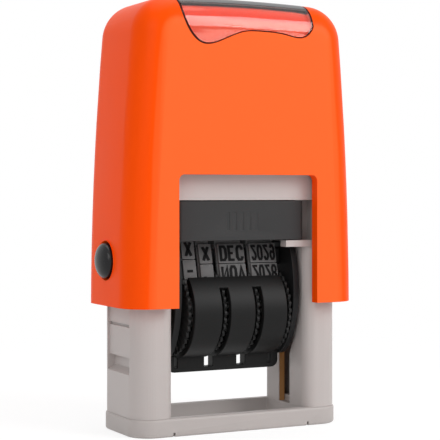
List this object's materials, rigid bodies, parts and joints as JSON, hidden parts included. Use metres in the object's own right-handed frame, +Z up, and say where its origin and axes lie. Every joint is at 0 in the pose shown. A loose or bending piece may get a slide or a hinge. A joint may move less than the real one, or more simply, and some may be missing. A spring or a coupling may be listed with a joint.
{
  "type": "self-inking date and time stamp",
  "caption": "Self-inking date stamp: sprung cover over a two-legged frame, flip-over date carriage with four endless date bands and thumb wheels, sliding ink cartridge and side locks.",
  "frame": {"origin": "centre of the rest face on which the foot ring stands", "axes": "+X across the machine to its right, the front with the date window looks along -Y, +Z up, the way the cover is pressed is -Z"},
  "size_m": [0.0548, 0.025, 0.086],
  "materials": {
    "frame_grey": "fine satin texture",
    "foot_grey": "fine satin texture",
    "cover_orange": "smooth, slightly glossy",
    "clear_lens": "clear moulded plastic",
    "top_grey": "smooth",
    "black_plastic": "satin",
    "black_gloss": "smooth",
    "ink_felt": "inked felt",
    "band_rubber": "grey rubber",
    "steel": "drawn wire and rod"
  },
  "bodies": {
    "frame": {"frame": "frame_grey", "foot_ring": "foot_grey"},
    "cartridge": {"ink_tray": "black_plastic", "ink_felt": "ink_felt"},
    "cover": {"cover_shell": "cover_orange", "index_lens": "clear_lens", "top_plate": "top_grey", "yoke": "cover_orange", "return_spring": "steel", "lock_bush_left": "black_plastic", "lock_bush_right": "black_plastic"},
    "button_left": {"lock_button_left": "black_gloss"},
    "button_right": {"lock_button_right": "black_gloss"},
    "carriage": {"cheek_left": "black_plastic", "cheek_right": "black_plastic", "print_head": "black_plastic", "wheel_shaft": "steel", "wheel_shroud": "black_plastic", "tens_band": "band_rubber", "units_band": "band_rubber", "month_band": "band_rubber", "year_band": "band_rubber"},
    "tens_setting": {"tens_wheel": "black_plastic"},
    "units_setting": {"units_wheel": "black_plastic"},
    "month_setting": {"month_wheel": "black_plastic"},
    "year_setting": {"year_wheel": "black_plastic"}
  },
  "joints": [
    {"name": "cover_press", "type": "slide", "parent": "frame", "child": "cover", "axis": [0, 0, -1], "range_m": [0, 0.02], "stiffness_N_per_m": 600, "springref_m": -0.012, "deforming": ["return_spring"]},
    {"name": "carriage_flip", "type": "hinge", "parent": "cover", "child": "carriage", "pos_m": [0, 0, 0.0289], "axis": [-1, 0, 0], "range_deg": [0, 180]},
    {"name": "cartridge_slide", "type": "slide", "parent": "frame", "child": "cartridge", "axis": [0, 1, 0], "range_m": [-0.022, 0]},
    {"name": "lock_left", "type": "slide", "parent": "cover", "child": "button_left", "axis": [1, 0, 0], "range_m": [0, 0.0012], "stiffness_N_per_m": 800, "springref_m": -0.001},
    {"name": "lock_right", "type": "slide", "parent": "cover", "child": "button_right", "axis": [-1, 0, 0], "range_m": [0, 0.0012], "stiffness_N_per_m": 800, "springref_m": -0.001},
    {"name": "tens_turn", "type": "hinge", "parent": "carriage", "child": "tens_setting", "pos_m": [0, 0, 0.0235], "axis": [1, 0, 0], "continuous": true},
    {"name": "units_turn", "type": "hinge", "parent": "carriage", "child": "units_setting", "pos_m": [0, 0, 0.0235], "axis": [1, 0, 0], "continuous": true},
    {"name": "month_turn", "type": "hinge", "parent": "carriage", "child": "month_setting", "pos_m": [0, 0, 0.0235], "axis": [1, 0, 0], "continuous": true},
    {"name": "year_turn", "type": "hinge", "parent": "carriage", "child": "year_setting", "pos_m": [0, 0, 0.0235], "axis": [1, 0, 0], "continuous": true}
  ],
  "couplings": [
    {"joint": "carriage_flip", "follows": "cover_press", "rad_per_m": 157.08}
  ]
}
